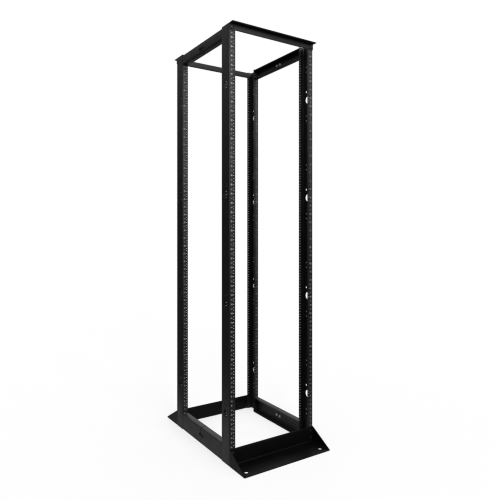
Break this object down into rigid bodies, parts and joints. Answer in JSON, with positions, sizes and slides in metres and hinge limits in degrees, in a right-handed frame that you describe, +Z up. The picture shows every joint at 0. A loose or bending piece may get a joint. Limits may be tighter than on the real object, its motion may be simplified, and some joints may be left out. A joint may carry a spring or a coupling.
{
  "type": "open frame server rack",
  "caption": "Open four-post frame for 19-inch equipment, with channel posts, side rails that telescope in depth, top angles and folded feet.",
  "frame": {"origin": "on the floor, under the middle of the rack at its 24 inch depth setting", "axes": "+Z up along the posts, -Y towards the front of the rack, +X to the right-hand side seen from the front"},
  "size_m": [0.523, 0.889, 2.1336],
  "materials": {
    "post_coat": "satin fine-textured black powder coat",
    "rail_coat": "satin fine-textured black powder coat",
    "base_coat": "satin fine-textured black powder coat",
    "bolt_zinc": "black zinc plated steel"
  },
  "bodies": {
    "front_frame": {"bottom_left_rail_front_half": "rail_coat", "bottom_left_rail_slide": "rail_coat", "bottom_left_splice_bolt": "bolt_zinc", "bottom_right_rail_front_half": "rail_coat", "bottom_right_rail_slide": "rail_coat", "bottom_right_splice_bolt": "bolt_zinc", "front_base": "base_coat", "front_left_base_bolt_1": "bolt_zinc", "front_left_base_bolt_2": "bolt_zinc", "front_left_bottom_rail_bolt_1": "bolt_zinc", "front_left_bottom_rail_bolt_2": "bolt_zinc", "front_left_post": "post_coat", "front_left_top_angle_bolt": "bolt_zinc", "front_left_top_rail_bolt_1": "bolt_zinc", "front_left_top_rail_bolt_2": "bolt_zinc", "front_right_base_bolt_1": "bolt_zinc", "front_right_base_bolt_2": "bolt_zinc", "front_right_bottom_rail_bolt_1": "bolt_zinc", "front_right_bottom_rail_bolt_2": "bolt_zinc", "front_right_post": "post_coat", "front_right_top_angle_bolt": "bolt_zinc", "front_right_top_rail_bolt_1": "bolt_zinc", "front_right_top_rail_bolt_2": "bolt_zinc", "front_top_angle": "rail_coat", "top_left_rail_front_half": "rail_coat", "top_left_rail_slide": "rail_coat", "top_left_splice_bolt": "bolt_zinc", "top_right_rail_front_half": "rail_coat", "top_right_rail_slide": "rail_coat", "top_right_splice_bolt": "bolt_zinc"},
    "rear_frame": {"bottom_left_clamp_bolt": "bolt_zinc", "bottom_left_rail_rear_half": "rail_coat", "bottom_right_clamp_bolt": "bolt_zinc", "bottom_right_rail_rear_half": "rail_coat", "rear_base": "base_coat", "rear_left_base_bolt_1": "bolt_zinc", "rear_left_base_bolt_2": "bolt_zinc", "rear_left_bottom_rail_bolt_1": "bolt_zinc", "rear_left_bottom_rail_bolt_2": "bolt_zinc", "rear_left_post": "post_coat", "rear_left_top_angle_bolt": "bolt_zinc", "rear_left_top_rail_bolt_1": "bolt_zinc", "rear_left_top_rail_bolt_2": "bolt_zinc", "rear_right_base_bolt_1": "bolt_zinc", "rear_right_base_bolt_2": "bolt_zinc", "rear_right_bottom_rail_bolt_1": "bolt_zinc", "rear_right_bottom_rail_bolt_2": "bolt_zinc", "rear_right_post": "post_coat", "rear_right_top_angle_bolt": "bolt_zinc", "rear_right_top_rail_bolt_1": "bolt_zinc", "rear_right_top_rail_bolt_2": "bolt_zinc", "rear_top_angle": "rail_coat", "top_left_clamp_bolt": "bolt_zinc", "top_left_rail_rear_half": "rail_coat", "top_right_clamp_bolt": "bolt_zinc", "top_right_rail_rear_half": "rail_coat"}
  },
  "joints": [
    {"name": "depth_setting", "type": "slide", "parent": "front_frame", "child": "rear_frame", "axis": [0, 1, 0], "range_m": [0, 0.15]}
  ]
}
